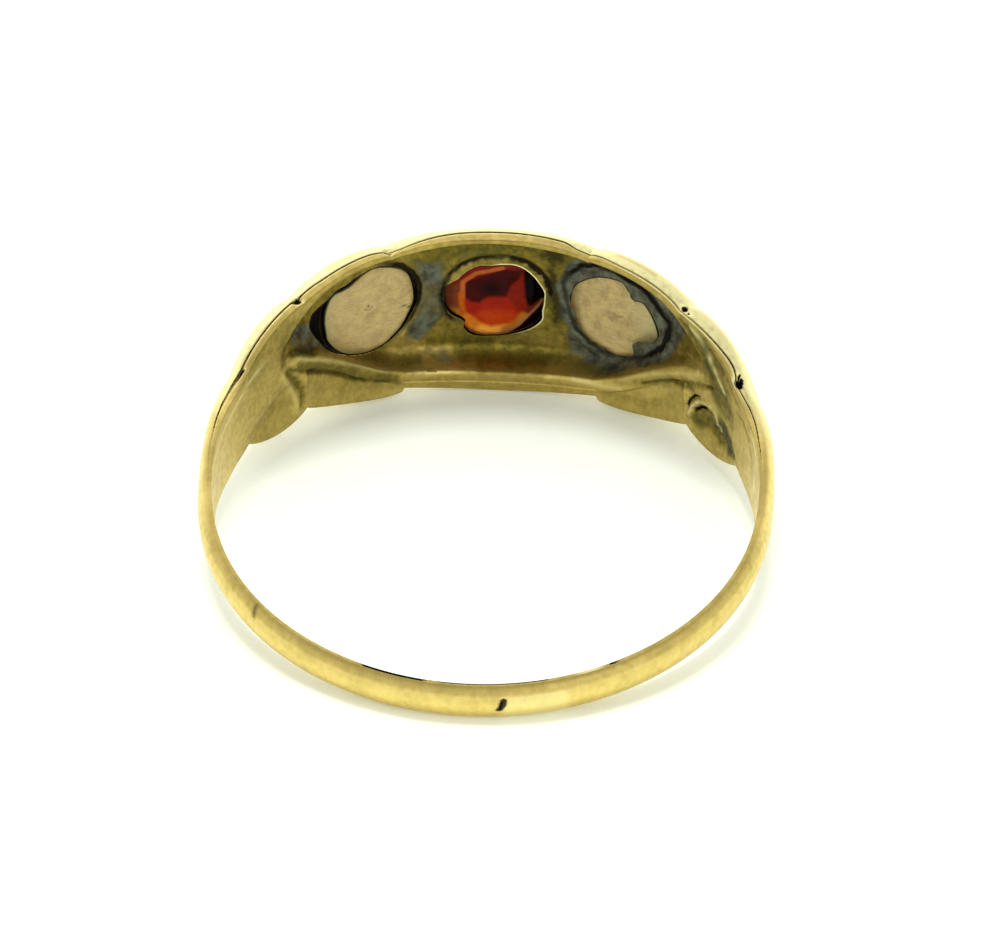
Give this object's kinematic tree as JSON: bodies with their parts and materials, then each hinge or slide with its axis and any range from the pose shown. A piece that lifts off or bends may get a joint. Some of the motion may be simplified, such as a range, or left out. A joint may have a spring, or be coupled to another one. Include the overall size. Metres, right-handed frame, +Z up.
{
  "type": "garnet and pearl three-stone ring",
  "caption": "Gold finger ring with a hollow-backed boat-shaped head, leaf-scalloped edges and a garnet between two pearls, on a thin D-section shank, lying on its side.",
  "frame": {"origin": "centre of the foot of the ring's box, on the surface that it lies on", "axes": "+Y from the back of the shank to the head, +Z up from the surface, +X across the ring"},
  "size_m": [0.0186, 0.0204, 0.0068],
  "materials": {
    "gold": "worn yellow gold, tarnished olive inside the head",
    "garnet": "polished, deep red with an orange glow",
    "pearl": "satin in front, dull sawn cream back"
  },
  "bodies": {
    "root": {"ring_body": "gold", "garnet": "garnet", "pearl_left": "pearl", "pearl_right": "pearl"}
  },
  "joints": []
}
